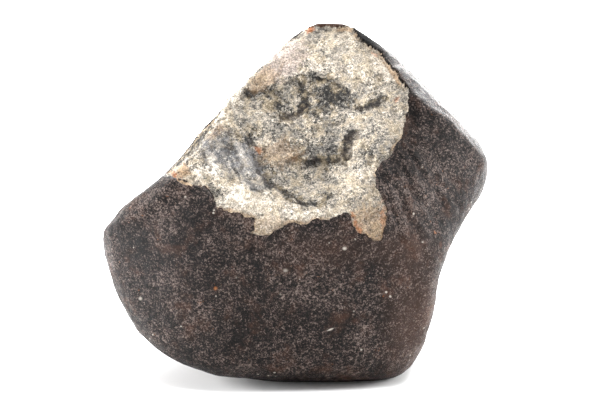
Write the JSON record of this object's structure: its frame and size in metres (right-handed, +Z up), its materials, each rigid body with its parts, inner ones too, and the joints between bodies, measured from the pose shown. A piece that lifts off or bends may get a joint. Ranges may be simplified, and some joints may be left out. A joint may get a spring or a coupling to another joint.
{
  "type": "chondrite meteorite",
  "caption": "Loose stony meteorite with a dark fusion crust, a pale chipped face near its top, and a small flat spot that it rests on.",
  "frame": {"origin": "on the ground, under the middle of the stone's bounding box", "axes": "+Z up from the flat spot, +X along the stone's longest extent to the right-hand nose, +Y through the stone's shortest extent away from the chipped face"},
  "size_m": [0.0764, 0.055, 0.0687],
  "materials": {
    "crusted_stone": "matt to slightly waxy, finely grainy brown-black melted crust; rough pale grey-beige rock with charcoal patches and rust spots where it is chipped"
  },
  "bodies": {
    "root": {"meteorite": "crusted_stone"}
  },
  "joints": []
}
